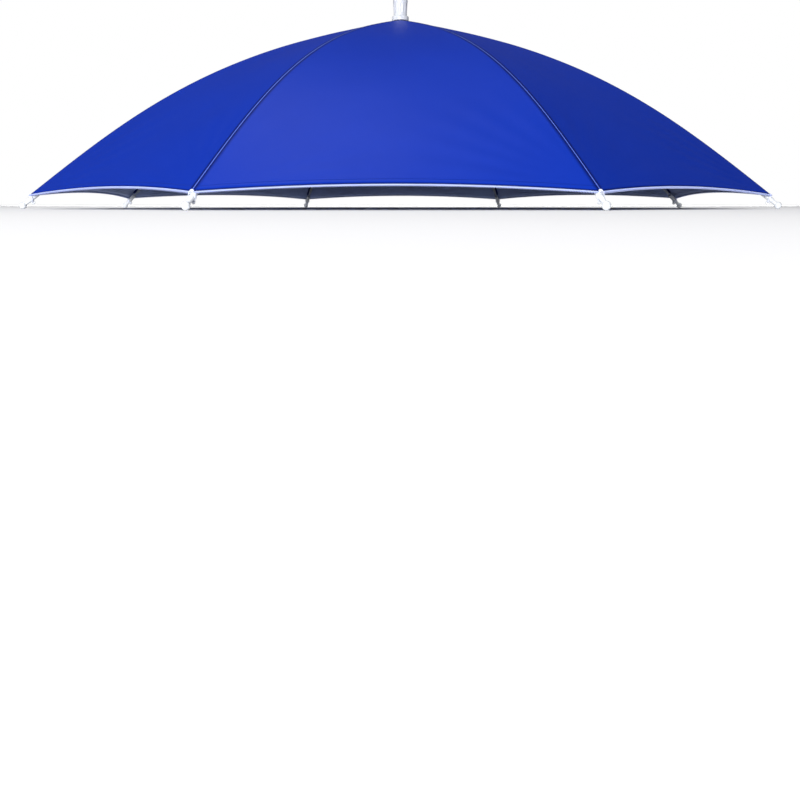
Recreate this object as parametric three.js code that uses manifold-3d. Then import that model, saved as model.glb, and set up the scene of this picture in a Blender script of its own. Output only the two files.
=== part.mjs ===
// An umbrella hat, open and standing on its eight rib tips: a sewn cloth canopy on a sprung steel frame,
// and under it an elastic headband that hangs from the ribs.
// Millimetres, +Z up. The origin is on the hat's axis, in the plane that the tips rest on. The front is -Y.

import * as THREE from "three";
import { mergeVertices } from "three/addons/utils/BufferGeometryUtils.js";
import Module from "manifold-3d";

const wasm = await Module();
wasm.setup();

const DEGREE = Math.PI / 180;
const FULL_TURN = 2 * Math.PI;

// Clearance between pieces that rest on, fit in or are sewn to each other
const GAP = 0.3;

// Canopy: flat panels between curved ribs, with the hem cut back between the tips
const RIB_COUNT = 8;
const RIM_RADIUS = 300; // from the hat's axis to a corner of the cloth
const CROWN_SLOPE = 13.2 * DEGREE; // how steeply a rib falls where it leaves the hub
const RIM_SLOPE = 38.2 * DEGREE; // how steeply it falls at its tip
const BEND_POWER = 2; // the higher, the further from the hub a rib does its bending
const CLOTH = 1; // wall of the cloth
const SEAM_DEPTH = 1; // how far the turned-in seam stands proud inside the cloth
const SEAM_WIDTH = 1.6; // width of that seam on each of the two panels it joins
const SEAM_SLOPE = 0.8; // width over which it falls away to the plain cloth
const SEAM_SHARE = 0.6; // most of a narrow panel's half width that seam and slope may take
const PANEL_HOLLOW = 1.5; // how far a taut panel dips between its ribs
const HEM_RISE = 7; // how far the hem is cut back midway between two tips
const CROWN_HOLE = 6; // radius of the opening for the hub's stud
const BINDING_RADIUS = 0.8; // the rolled edge that finishes the hem

// Ribs: folded steel channels, open downwards, drawn narrow where they enter the tips
const RIB_WIDTH = 2.2;
const RIB_DEPTH = 1.5;
const RIB_WALL = 0.5;
const RIB_END_SHARE = 0.62; // size of the drawn end against the rib's full section
const RIB_TAPER = 8; // length over which the rib narrows

// Rib tips: a neck that takes the rib's end, an eye for the thread that ties the cloth, and a ball
const BALL_RADIUS = 2.6;
const NECK_RADIUS = 1.8;
const BALL_REACH = 8.5; // from the cloth's corner to the ball's centre
const NECK_INSIDE = 8; // how far the neck reaches in under the cloth
const TIP_BORE_DEPTH = 6;
const EYE_RADIUS = 1.6;
const EYE_HOLE_RADIUS = 0.6;
const EYE_THICKNESS = 1.2;
const EYE_REACH = 1.5; // from the cloth's corner to the eye's centre

// Hub: a slotted disc under the cloth, with a stud above it and a post below
const HUB_RADIUS = 13;
const HUB_HEIGHT = 5;
const STUD_RADIUS = 2.5;
const STUD_HEIGHT = 12; // above the top of the cloth
const POST_RADIUS = 4.5;
const RIB_START_RADIUS = 7; // where the ribs begin, inside the hub's slots
const SLOT_FLOOR = 1.2; // least material under a slot

// Ferrule and its washer, on top of the cloth
const WASHER_RADIUS = 7;
const WASHER_HEIGHT = 2;
const FERRULE_RADIUS = 6.1; // at its shoulder, where the dome begins
const FERRULE_BASE_RADIUS = 5.5;
const FERRULE_SHOULDER = 11.5; // height of the shoulder above the washer
const FERRULE_DOME = 6;

// Runner, its button and the stretchers that brace the ribs
const RUNNER_DROP = 22.5; // from the top of the cloth to the runner's top
const RUNNER_RADIUS = 10;
const RUNNER_HEIGHT = 5.5;
const RUNNER_SLOT_RADIUS = 6.6; // where the runner's slots begin
const BUTTON_RADIUS = 8;
const BUTTON_HEIGHT = 2.5;
const STRETCHER_WIDTH = 2.2;
const STRETCHER_DEPTH = 1.5;

// Yokes that hold the stretchers and hangers to the ribs
const YOKE_LENGTH = 6;
const YOKE_WALL = 1.5;
const YOKE_SPACE = 4; // between a stretcher's yoke and the hanger's

// Headband and the hangers that carry it
const BAND_RADIUS = 83.5; // relaxed, to the middle of the elastic
const BAND_THICKNESS = 2;
const BAND_HEIGHT = 25;
const BAND_DROP = 95; // from the top of the cloth to the band's upper edge
const LEG_THICKNESS = 1.6;
const LIP_THICKNESS = 1.4;
const HOOK_HEIGHT = 4; // how far a hook reaches over the band's inner face
const HOOK_GAP = 1.5 * GAP; // room for the middle of the band's facets, which lie further in

// Facets
const CURVE_STEPS = 400; // for working out the curve of a rib
const LONGEST_FACET = 50; // along the ribs and panels
const COLUMN_SHARES = [-0.67, -0.33, 0, 0.33, 0.67]; // places across a panel, from -1 to 1
const BINDING_SIDES = 6;
const TIP_SIDES = 12;
const BALL_STEPS = 5;
const EYE_SIDES = 8;
const HUB_SIDES = 24;
const FERRULE_SIDES = 20;
const DOME_STEPS = 4;
const BAND_SIDES = 48;

const halfPanel = Math.PI / RIB_COUNT;

// Solids

// A mesh's geometry as a solid that can be joined and cut.
function solidOf(geometry) {
  const bare = geometry.clone();
  bare.deleteAttribute("normal");
  bare.deleteAttribute("uv");
  const merged = mergeVertices(bare, 1e-4);
  const mesh = new wasm.Mesh({
    numProp: 3,
    vertProperties: new Float32Array(merged.attributes.position.array),
    triVerts: new Uint32Array(merged.index.array),
  });
  return new wasm.Manifold(mesh);
}

function geometryOf(solid) {
  const mesh = solid.getMesh();
  const corners = [];
  for (let i = 0; i < mesh.numVert; i++) {
    corners.push(...mesh.vertProperties.subarray(i * mesh.numProp, i * mesh.numProp + 3));
  }
  return indexedGeometry(corners, [...mesh.triVerts]);
}

function indexedGeometry(corners, faces) {
  const geometry = new THREE.BufferGeometry();
  geometry.setAttribute("position", new THREE.Float32BufferAttribute(corners, 3));
  geometry.setIndex(faces);
  geometry.computeVertexNormals();
  return geometry;
}

function box(x, y, z) {
  const size = [x, y, z].map(([low, high]) => high - low);
  const middle = [x, y, z].map(([low, high]) => (low + high) / 2);
  return new THREE.BoxGeometry(...size).translate(...middle);
}

// A solid of revolution about +Z, from a profile of [radius, height] that runs up its outside.
function turned(profile, sides) {
  const points = profile.map(([radius, height]) => new THREE.Vector2(radius, height));
  return new THREE.LatheGeometry(points, sides).rotateX(Math.PI / 2);
}

// Skins a row of rings of points and closes both ends with the faces of `cap`. The rings and those faces run
// anticlockwise for someone whom the row comes towards.
function loft(rings, cap) {
  const count = rings[0].length;
  const corners = rings.flat().flatMap((point) => point.toArray());
  const faces = [];
  for (let row = 0; row + 1 < rings.length; row++) {
    for (let i = 0; i < count; i++) {
      const a = row * count + i;
      const b = row * count + ((i + 1) % count);
      faces.push(a, b, b + count, a, b + count, a + count);
    }
  }
  const last = (rings.length - 1) * count;
  for (const [a, b, c] of cap) {
    faces.push(a, c, b, last + a, last + b, last + c);
  }
  return indexedGeometry(corners, faces);
}

function flatCap(outline) {
  return THREE.ShapeUtils.triangulateShape(outline.map(([x, y]) => new THREE.Vector2(x, y)), []);
}

// Fills a ring whose second half runs back beside its first, point by point.
function stripCap(pairs) {
  const faces = [];
  for (let i = 0; i + 1 < pairs; i++) {
    const back = 2 * pairs - 1 - i;
    faces.push([i, i + 1, back - 1], [i, back - 1, back]);
  }
  return faces;
}

// The curve of a rib

// The hub's slot holds a rib straight at one end, the cloth's pull at its tip leaves it straight at the other, and
// the stretcher pushes it up between them. So the slope grows slowly, then fast, then slowly along its length.
function slopeAt(share) {
  return CROWN_SLOPE + (RIM_SLOPE - CROWN_SLOPE) * Math.sin((share * Math.PI) / 2) ** BEND_POWER;
}

const unitCurve = [{ radius: 0, fall: 0 }];
for (let i = 0; i < CURVE_STEPS; i++) {
  const slope = slopeAt((i + 0.5) / CURVE_STEPS);
  unitCurve.push({
    radius: unitCurve[i].radius + Math.cos(slope) / CURVE_STEPS,
    fall: unitCurve[i].fall + Math.sin(slope) / CURVE_STEPS,
  });
}
const ribArc = RIM_RADIUS / unitCurve[CURVE_STEPS].radius; // length of the cloth from its top to a corner

const ribAxisDepth = CLOTH + GAP + Math.max(SEAM_DEPTH + RIB_DEPTH / 2, NECK_RADIUS);
const rimHeight = BALL_RADIUS + BALL_REACH * Math.sin(RIM_SLOPE) + ribAxisDepth * Math.cos(RIM_SLOPE);
const topHeight = rimHeight + ribArc * unitCurve[CURVE_STEPS].fall;

// Where a rib's plane meets the surface that lies `depth` under the cloth's face, `arc` along it from the top.
function onRib(arc, depth) {
  const share = Math.min(arc / ribArc, 1);
  const slope = slopeAt(share);
  const step = Math.min(Math.floor(share * CURVE_STEPS), CURVE_STEPS - 1);
  const rest = share * CURVE_STEPS - step;
  const from = unitCurve[step];
  const to = unitCurve[step + 1];
  const beyond = Math.max(arc - ribArc, 0); // past the corner the curve goes on straight
  const radius = ribArc * (from.radius + rest * (to.radius - from.radius)) + beyond * Math.cos(slope);
  const fall = ribArc * (from.fall + rest * (to.fall - from.fall)) + beyond * Math.sin(slope);
  return {
    radius: radius - depth * Math.sin(slope),
    height: topHeight - fall - depth * Math.cos(slope),
    slope,
  };
}

function arcAtRadius(radius, depth) {
  let low = 0;
  let high = 2 * ribArc;
  while (high - low > 1e-6) {
    const middle = (low + high) / 2;
    if (onRib(middle, depth).radius < radius) {
      low = middle;
    } else {
      high = middle;
    }
  }
  return low;
}

// Places along a rib between two arcs, no further apart than the longest facet.
function stationsBetween(from, to) {
  const steps = Math.max(1, Math.ceil((to - from) / LONGEST_FACET));
  return Array.from({ length: steps }, (_, i) => from + ((to - from) * i) / steps);
}

// A geometry drawn along +X from the origin, laid along a rib with its origin at that arc and depth.
function alongRib(geometry, arc, depth) {
  const place = onRib(arc, depth);
  return geometry.rotateY(place.slope).translate(place.radius, 0, place.height);
}

// Where the pieces of the frame meet the ribs

const ribStartArc = arcAtRadius(RIB_START_RADIUS, ribAxisDepth);
const hubArc = arcAtRadius(HUB_RADIUS, ribAxisDepth);
const legInner = BAND_RADIUS + BAND_THICKNESS / 2 + GAP;
const hangerArc = arcAtRadius(legInner + LEG_THICKNESS / 2, ribAxisDepth);
const stretcherArc = hangerArc - YOKE_LENGTH - YOKE_SPACE;
const tipStartArc = ribArc - NECK_INSIDE;
const ribEndArc = tipStartArc + TIP_BORE_DEPTH - GAP;
const taperArc = tipStartArc - GAP - RIB_TAPER;

// The panels and the ribs bend at the same places, so the gap between them stays even.
const sharedStations = [
  hubArc,
  ...stationsBetween(hubArc, stretcherArc).slice(1),
  stretcherArc,
  ...stationsBetween(hangerArc, taperArc),
  taperArc,
];

// Canopy panels, drawn with the middle of the panel along +X

const crownArc = arcAtRadius(CROWN_HOLE, 0);
const seamEndArc = tipStartArc - 2 * GAP; // the seam fades out before the tip's neck

// How far the hem is cut back, for a place across the panel from -1 to 1.
function hemCut(across) {
  return HEM_RISE * (1 - across * across);
}

// How far from a panel's edge its seam ends, and the slope beside the seam. Both shrink at the narrow crown.
function seamWidths(halfWidth) {
  const fit = Math.min(1, (SEAM_SHARE * halfWidth) / (SEAM_WIDTH + SEAM_SLOPE));
  return { seam: fit * SEAM_WIDTH, slope: fit * (SEAM_WIDTH + SEAM_SLOPE) };
}

// A place on the cloth between the two seams, for a share of its half width from -1 to 1.
function betweenSeams(share) {
  return (halfWidth) => share * (halfWidth - seamWidths(halfWidth).slope);
}

// A point of a panel, `off` from its middle line, on the surface `depth` under the cloth's face. The cloth dips
// between its two seams, and lies along the ribs at them.
function onPanel(arc, depth, offOf) {
  const { radius, height, slope } = onRib(arc, depth);
  const halfWidth = radius * Math.sin(halfPanel) - GAP / 2 / Math.cos(halfPanel);
  const off = offOf(halfWidth);
  const hollowShare = Math.max(0, 1 - (off / (halfWidth - seamWidths(halfWidth).slope)) ** 2);
  const dip = PANEL_HOLLOW * hollowShare * Math.sin((Math.PI * arc) / ribArc);
  return new THREE.Vector3(
    radius * Math.cos(halfPanel) - dip * Math.sin(slope),
    off,
    height - dip * Math.cos(slope),
  );
}

function panelGeometry() {
  const columns = [
    { across: -1, inSeam: true, off: (halfWidth) => -halfWidth },
    { across: -1, inSeam: true, off: (halfWidth) => seamWidths(halfWidth).seam - halfWidth },
    { across: -1, inSeam: false, off: (halfWidth) => seamWidths(halfWidth).slope - halfWidth },
    ...COLUMN_SHARES.map((across) => ({ across, inSeam: false, off: betweenSeams(across) })),
    { across: 1, inSeam: false, off: (halfWidth) => halfWidth - seamWidths(halfWidth).slope },
    { across: 1, inSeam: true, off: (halfWidth) => halfWidth - seamWidths(halfWidth).seam },
    { across: 1, inSeam: true, off: (halfWidth) => halfWidth },
  ];
  const rowArcs = [crownArc, ...sharedStations, seamEndArc, ribArc];
  const rings = rowArcs.map((rowArc) => {
    const towardHem = (rowArc - crownArc) / (ribArc - crownArc);
    const arcOf = (column) => rowArc - hemCut(column.across) * towardHem;
    const seamDepth = rowArc < seamEndArc ? SEAM_DEPTH : 0;
    const outer = columns.map((column) => onPanel(arcOf(column), 0, column.off));
    const inner = columns.map((column) =>
      onPanel(arcOf(column), CLOTH + (column.inSeam ? seamDepth : 0), column.off),
    );
    return [...inner, ...outer.reverse()];
  });
  return loft(rings, stripCap(columns.length));
}

// The rolled edge along one panel's hem, from one tip's neck to the next.
function bindingGeometry() {
  const besideNeck = (side) => (halfWidth) => side * (halfWidth - NECK_RADIUS - 2 * GAP);
  const hemPoint = (across, past) => {
    const off = Math.abs(across) === 1 ? besideNeck(across) : betweenSeams(across);
    return onPanel(ribArc - hemCut(across) + past, CLOTH / 2, off);
  };
  const sides = Array.from({ length: BINDING_SIDES }, (_, i) => (i * FULL_TURN) / BINDING_SIDES);
  const rings = [-1, ...COLUMN_SHARES, 1].map((across) => {
    const centre = hemPoint(across, BINDING_RADIUS + GAP);
    const downSlope = hemPoint(across, BINDING_RADIUS + 2 * GAP).sub(centre).normalize();
    const inward = new THREE.Vector3(0, 1, 0).cross(downSlope).normalize();
    return sides.map((turn) =>
      centre
        .clone()
        .addScaledVector(downSlope, BINDING_RADIUS * Math.cos(turn))
        .addScaledVector(inward, BINDING_RADIUS * Math.sin(turn)),
    );
  });
  return loft(rings, flatCap(sides.map((turn) => [Math.cos(turn), Math.sin(turn)])));
}

// Frame pieces, drawn with the rib along +X

function ribGeometry() {
  const halfWidth = RIB_WIDTH / 2;
  const halfDepth = RIB_DEPTH / 2;
  const groove = halfWidth - RIB_WALL;
  const section = [
    [halfWidth, halfDepth],
    [-halfWidth, halfDepth],
    [-halfWidth, -halfDepth],
    [-groove, -halfDepth],
    [-groove, halfDepth - RIB_WALL],
    [groove, halfDepth - RIB_WALL],
    [groove, -halfDepth],
    [halfWidth, -halfDepth],
  ];
  const stations = [
    ...[ribStartArc, ...sharedStations].map((arc) => ({ arc, share: 1 })),
    ...[tipStartArc - GAP, ribEndArc].map((arc) => ({ arc, share: RIB_END_SHARE })),
  ];
  const rings = stations.map(({ arc, share }) =>
    section.map(([off, up]) => {
      const { radius, height } = onRib(arc, ribAxisDepth - up * share);
      return new THREE.Vector3(radius, off * share, height);
    }),
  );
  return loft(rings, flatCap(section));
}

// The tip is turned about its own axis, then gets its eye on the underside.
function tipGeometry() {
  const boreRadius = RIB_END_SHARE * Math.hypot(RIB_WIDTH / 2, RIB_DEPTH / 2) + GAP;
  const ballCentre = NECK_INSIDE + BALL_REACH;
  const shoulder = Math.asin(NECK_RADIUS / BALL_RADIUS);
  const ball = [];
  for (let step = 0; step < BALL_STEPS; step++) {
    const turn = shoulder + ((Math.PI - shoulder) * step) / BALL_STEPS;
    ball.push([BALL_RADIUS * Math.sin(turn), ballCentre - BALL_RADIUS * Math.cos(turn)]);
  }
  const profile = [
    [0, TIP_BORE_DEPTH],
    [boreRadius, TIP_BORE_DEPTH],
    [boreRadius, 0],
    [NECK_RADIUS, 0],
    ...ball,
    [0, ballCentre + BALL_RADIUS],
  ];
  const body = turned(profile, TIP_SIDES).rotateY(Math.PI / 2);
  const eyePlace = [NECK_INSIDE + EYE_REACH, 0, -NECK_RADIUS - EYE_RADIUS / 2];
  const eye = new THREE.CylinderGeometry(EYE_RADIUS, EYE_RADIUS, EYE_THICKNESS, EYE_SIDES);
  const hole = new THREE.CylinderGeometry(EYE_HOLE_RADIUS, EYE_HOLE_RADIUS, 2 * EYE_THICKNESS, EYE_SIDES);
  const tip = solidOf(body)
    .add(solidOf(eye.translate(...eyePlace)))
    .subtract(solidOf(hole.translate(...eyePlace)));
  return alongRib(geometryOf(tip), tipStartArc, ribAxisDepth);
}

// A block under a rib with a slot that the rib lies in, centred at that arc.
const yokeSlotDepth = RIB_DEPTH / 2 + GAP; // from the rib's axis to the slot's floor
const yokeFloorDepth = yokeSlotDepth + YOKE_WALL;

function yokeSolid(arc) {
  const halfSlot = RIB_WIDTH / 2 + GAP;
  const halfWidth = halfSlot + YOKE_WALL;
  const top = RIB_DEPTH / 2 - GAP;
  const block = box([-YOKE_LENGTH / 2, YOKE_LENGTH / 2], [-halfWidth, halfWidth], [-yokeFloorDepth, top]);
  const slot = box([-YOKE_LENGTH, YOKE_LENGTH], [-halfSlot, halfSlot], [-yokeSlotDepth, RIB_DEPTH]);
  return solidOf(alongRib(block, arc, ribAxisDepth)).subtract(solidOf(alongRib(slot, arc, ribAxisDepth)));
}

const runnerTop = topHeight - RUNNER_DROP;
const runnerBottom = runnerTop - RUNNER_HEIGHT;

function stretcherGeometry() {
  const outer = onRib(stretcherArc, ribAxisDepth + yokeSlotDepth + YOKE_WALL / 2);
  const innerRadius = RUNNER_SLOT_RADIUS + GAP;
  const innerHeight = (runnerTop + runnerBottom) / 2;
  const length = Math.hypot(outer.radius - innerRadius, outer.height - innerHeight);
  const tilt = Math.atan2(innerHeight - outer.height, outer.radius - innerRadius);
  const bar = box(
    [0, length],
    [-STRETCHER_WIDTH / 2, STRETCHER_WIDTH / 2],
    [-STRETCHER_DEPTH / 2, STRETCHER_DEPTH / 2],
  );
  bar.rotateY(tilt).translate(innerRadius, 0, innerHeight);
  return geometryOf(solidOf(bar).add(yokeSolid(stretcherArc)));
}

// A leg that hangs from the rib, with two lips and two hooks that hold the band's edges.
const bandTop = topHeight - BAND_DROP;
const bandBottom = bandTop - BAND_HEIGHT;

function hangerGeometry() {
  const halfWidth = RIB_WIDTH / 2 + GAP + YOKE_WALL;
  const wide = [-halfWidth, halfWidth];
  const bandInner = BAND_RADIUS - BAND_THICKNESS / 2;
  const hookOuter = bandInner - HOOK_GAP;
  const hookInner = hookOuter - LIP_THICKNESS;
  const lipTop = bandTop + GAP + LIP_THICKNESS;
  const lipBottom = bandBottom - GAP - LIP_THICKNESS;
  const legTop = onRib(hangerArc, ribAxisDepth + yokeSlotDepth + YOKE_WALL / 2).height;
  const pieces = [
    box([legInner, legInner + LEG_THICKNESS], wide, [lipBottom, legTop]),
    box([hookInner, legInner + LEG_THICKNESS], wide, [bandTop + GAP, lipTop]),
    box([hookInner, legInner + LEG_THICKNESS], wide, [lipBottom, bandBottom - GAP]),
    box([hookInner, hookOuter], wide, [bandTop - HOOK_HEIGHT, lipTop]),
    box([hookInner, hookOuter], wide, [lipBottom, bandBottom + HOOK_HEIGHT]),
  ];
  return geometryOf(pieces.reduce((made, piece) => made.add(solidOf(piece)), yokeSolid(hangerArc)));
}

// Centre pieces, turned about the hat's axis

// One slot for each rib or stretcher, cut down from above.
function cutSlots(solid, slot) {
  let made = solid;
  for (let i = 0; i < RIB_COUNT; i++) {
    made = made.subtract(solidOf(slot.clone().rotateZ(ribAzimuth(i))));
  }
  return made;
}

function hubGeometry() {
  const under = (radius) => {
    const depth = CLOTH + SEAM_DEPTH + GAP;
    return onRib(arcAtRadius(radius, depth), depth).height;
  };
  const slotFloor = onRib(arcAtRadius(HUB_RADIUS, ribAxisDepth), ribAxisDepth + yokeSlotDepth).height;
  const hubBottom = Math.min(under(HUB_RADIUS) - HUB_HEIGHT, slotFloor - SLOT_FLOOR);
  const buttonTop = runnerBottom - GAP;
  const body = turned(
    [
      [0, buttonTop - BUTTON_HEIGHT],
      [BUTTON_RADIUS, buttonTop - BUTTON_HEIGHT],
      [BUTTON_RADIUS, buttonTop],
      [POST_RADIUS, buttonTop],
      [POST_RADIUS, hubBottom],
      [HUB_RADIUS, hubBottom],
      [HUB_RADIUS, under(HUB_RADIUS)],
      [STUD_RADIUS, under(STUD_RADIUS)],
      [STUD_RADIUS, topHeight + STUD_HEIGHT],
      [0, topHeight + STUD_HEIGHT],
    ],
    HUB_SIDES,
  );
  const halfSlot = RIB_WIDTH / 2 + GAP;
  const slot = alongRib(
    box([-GAP, 2 * HUB_RADIUS], [-halfSlot, halfSlot], [-yokeSlotDepth, RIB_DEPTH + SEAM_DEPTH]),
    ribStartArc,
    ribAxisDepth,
  );
  return geometryOf(cutSlots(solidOf(body), slot));
}

function runnerGeometry() {
  const bore = POST_RADIUS + GAP;
  const ring = turned(
    [
      [bore, runnerBottom],
      [RUNNER_RADIUS, runnerBottom],
      [RUNNER_RADIUS, runnerTop],
      [bore, runnerTop],
      [bore, runnerBottom],
    ],
    HUB_SIDES,
  );
  const halfSlot = STRETCHER_WIDTH / 2 + GAP;
  const slotFloor = (runnerTop + runnerBottom) / 2 - STRETCHER_DEPTH / 2 - GAP;
  const slot = box(
    [RUNNER_SLOT_RADIUS, 2 * RUNNER_RADIUS],
    [-halfSlot, halfSlot],
    [slotFloor, runnerTop + RUNNER_HEIGHT],
  );
  return geometryOf(cutSlots(solidOf(ring), slot));
}

const washerTop = topHeight + GAP + WASHER_HEIGHT;

function washerGeometry() {
  const bore = STUD_RADIUS + GAP;
  const over = (radius) => onRib(arcAtRadius(radius, -GAP), -GAP).height;
  return turned(
    [
      [bore, over(bore)],
      [WASHER_RADIUS, over(WASHER_RADIUS)],
      [WASHER_RADIUS, washerTop],
      [bore, washerTop],
      [bore, over(bore)],
    ],
    FERRULE_SIDES,
  );
}

function ferruleGeometry() {
  const base = washerTop + GAP;
  const bore = STUD_RADIUS + GAP;
  const boreTop = topHeight + STUD_HEIGHT + GAP;
  const dome = [];
  for (let step = 0; step < DOME_STEPS; step++) {
    const turn = (Math.PI * step) / (2 * DOME_STEPS);
    dome.push([FERRULE_RADIUS * Math.cos(turn), base + FERRULE_SHOULDER + FERRULE_DOME * Math.sin(turn)]);
  }
  return turned(
    [
      [0, boreTop],
      [bore, boreTop],
      [bore, base],
      [FERRULE_BASE_RADIUS, base],
      ...dome,
      [0, base + FERRULE_SHOULDER + FERRULE_DOME],
    ],
    FERRULE_SIDES,
  );
}

function headbandGeometry() {
  const inner = BAND_RADIUS - BAND_THICKNESS / 2;
  const outer = BAND_RADIUS + BAND_THICKNESS / 2;
  return turned(
    [
      [inner, bandBottom],
      [outer, bandBottom],
      [outer, bandTop],
      [inner, bandTop],
      [inner, bandBottom],
    ],
    BAND_SIDES,
  );
}

// Assembly

const blueCloth = new THREE.MeshStandardMaterial({ color: 0x2344bd, roughness: 0.6, metalness: 0 });
const whiteThread = new THREE.MeshStandardMaterial({ color: 0xf2f3f7, roughness: 0.7, metalness: 0 });
const steel = new THREE.MeshStandardMaterial({ color: 0xb9bcc2, roughness: 0.35, metalness: 1 });
const whitePlastic = new THREE.MeshStandardMaterial({ color: 0xf1f2f5, roughness: 0.3, metalness: 0 });
const whiteElastic = new THREE.MeshStandardMaterial({ color: 0xe9eaee, roughness: 0.9, metalness: 0 });

// The front panel faces -Y, and the ribs lie half a panel to either side of it.
function panelAzimuth(i) {
  return -Math.PI / 2 + 2 * halfPanel * i;
}

function ribAzimuth(i) {
  return panelAzimuth(i) + halfPanel;
}

function piece(name, geometry, material) {
  const mesh = new THREE.Mesh(geometry, material);
  mesh.name = name;
  return mesh;
}

// The same pieces again in a turned group for each panel or rib.
function aroundTheAxis(parts, azimuthOf) {
  return Array.from({ length: RIB_COUNT }, (_, i) => {
    const spoke = new THREE.Group();
    spoke.rotation.z = azimuthOf(i);
    for (const [name, geometry, material] of parts) {
      spoke.add(piece(`${name}_${i + 1}`, geometry, material));
    }
    return spoke;
  });
}

const hat = new THREE.Group();
hat.add(
  ...aroundTheAxis(
    [
      ["canopy_panel", panelGeometry(), blueCloth],
      ["hem_binding", bindingGeometry(), whiteThread],
    ],
    panelAzimuth,
  ),
  ...aroundTheAxis(
    [
      ["rib", ribGeometry(), steel],
      ["rib_tip", tipGeometry(), whitePlastic],
      ["stretcher", stretcherGeometry(), steel],
      ["band_hanger", hangerGeometry(), whitePlastic],
    ],
    ribAzimuth,
  ),
  piece("ferrule", ferruleGeometry(), whitePlastic),
  piece("ferrule_washer", washerGeometry(), whitePlastic),
  piece("hub", hubGeometry(), whitePlastic),
  piece("runner", runnerGeometry(), whitePlastic),
  piece("headband", headbandGeometry(), whiteElastic),
);

export default hat;
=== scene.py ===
# %% [markdown]
# # An umbrella hat, dressed around its CAD model
#
# The hat is a small umbrella worn on the head: a blue cloth canopy of eight sewn panels, stretched over
# sprung steel ribs, with white moulded tips and an elastic headband below. The CAD model holds every size.
# This notebook loads it as a fixed frame and grows the cloth, the stitches and the mouldings around it.

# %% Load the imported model
import math

import bmesh
import bpy
from mathutils import Matrix, Vector


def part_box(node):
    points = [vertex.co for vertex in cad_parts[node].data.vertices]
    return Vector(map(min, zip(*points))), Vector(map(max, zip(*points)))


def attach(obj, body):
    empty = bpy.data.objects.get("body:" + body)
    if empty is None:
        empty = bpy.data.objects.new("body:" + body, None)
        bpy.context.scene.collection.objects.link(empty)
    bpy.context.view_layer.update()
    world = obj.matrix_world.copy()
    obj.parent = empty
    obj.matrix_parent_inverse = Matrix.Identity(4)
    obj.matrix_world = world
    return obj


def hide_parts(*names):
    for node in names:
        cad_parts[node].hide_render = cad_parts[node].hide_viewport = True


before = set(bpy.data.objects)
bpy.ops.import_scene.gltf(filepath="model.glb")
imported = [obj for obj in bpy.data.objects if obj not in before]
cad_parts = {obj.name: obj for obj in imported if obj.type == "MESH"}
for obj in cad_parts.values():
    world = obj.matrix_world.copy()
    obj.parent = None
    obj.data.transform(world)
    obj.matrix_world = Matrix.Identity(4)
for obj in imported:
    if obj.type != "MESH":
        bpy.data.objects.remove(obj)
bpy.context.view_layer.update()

# %% [markdown]
# ## The camera
#
# The picture was taken from just below the hem, with a lens of about 38 mm on a full-frame sensor. A hat
# that stands on a floor can't be seen from below it, so the camera keeps the same side, distance and lens and
# stops 3 mm above the floor, where it still sees under the front hem. It is tipped down, which sets the hat
# at the top of the frame with its ferrule cut off, and needs no lens shift.

# %% Stand the camera just above the floor
MM = 0.001
PHOTO_SIDE = 800
FOCAL_PIXELS = 839
SENSOR_WIDTH = 36
CAMERA_PLACE = (7 * MM, -759 * MM, 3 * MM)
CAMERA_DOWN = math.radians(13.09)
CAMERA_TURN = math.radians(0.55)
NEAREST_SEEN = 2 * MM

scene = bpy.context.scene
camera_data = bpy.data.cameras.new("photo_camera")
camera_data.sensor_width = SENSOR_WIDTH
camera_data.lens = SENSOR_WIDTH * FOCAL_PIXELS / PHOTO_SIDE
camera_data.clip_start = NEAREST_SEEN
camera = bpy.data.objects.new("photo_camera", camera_data)
camera.location = CAMERA_PLACE
camera.rotation_euler = (math.pi / 2 - CAMERA_DOWN, 0, CAMERA_TURN)
scene.collection.objects.link(camera)
scene.camera = camera
scene.view_settings.view_transform = "Standard"
print("lens", round(camera_data.lens, 1), "mm")

# %% [markdown]
# ## Helpers for nodes and colours
#
# Every material and every node tree below is built by one small function that adds a node, sets its own
# settings and feeds its inputs. An input takes a plain value, a socket, or a node, which means that node's
# first output. A kind in capitals, such as MULTIPLY, is the sum that a Math node does, and a list feeds the
# inputs in their order. Colours are written as sRGB hex values, as a paint chart gives them, and turned to
# the linear values that the renderer works in. Most materials end alike: two tones mixed by a pattern, a
# relief, and a look.

# %% Add nodes and read colours
def add(tree, kind, inputs=None, **settings):
    if kind.isupper():
        settings["operation"] = kind
        kind = "ShaderNodeMath"
    node = tree.nodes.new(kind)
    for name, value in settings.items():
        setattr(node, name, value)
    if isinstance(inputs, list):
        inputs = dict(enumerate(inputs))
    for key, value in (inputs or {}).items():
        if isinstance(value, bpy.types.Node):
            value = value.outputs[0]
        if isinstance(value, bpy.types.NodeSocket):
            tree.links.new(value, node.inputs[key])
        else:
            node.inputs[key].default_value = value
    return node


def linear(hex_colour):
    channels = [int(hex_colour[i : i + 2], 16) / 255 for i in (1, 3, 5)]
    bent = [c / 12.92 if c <= 0.04045 else ((c + 0.055) / 1.055) ** 2.4 for c in channels]
    return (*bent, 1)


def new_material(name):
    material = bpy.data.materials.new(name)
    material.use_nodes = True
    material.node_tree.nodes.clear()
    return material, material.node_tree


def end_material(material, pattern, tones, bump, look):
    tree = material.node_tree
    mixed = {0: pattern, 6: linear(tones[0]), 7: linear(tones[1])}
    tint = add(tree, "ShaderNodeMix", mixed, data_type="RGBA").outputs[2]
    relief = add(tree, "ShaderNodeBump", bump)
    shader = add(tree, "ShaderNodeBsdfPrincipled", {**look, "Base Color": tint, "Normal": relief})
    add(tree, "ShaderNodeOutputMaterial", {"Surface": shader})
    return material


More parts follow.
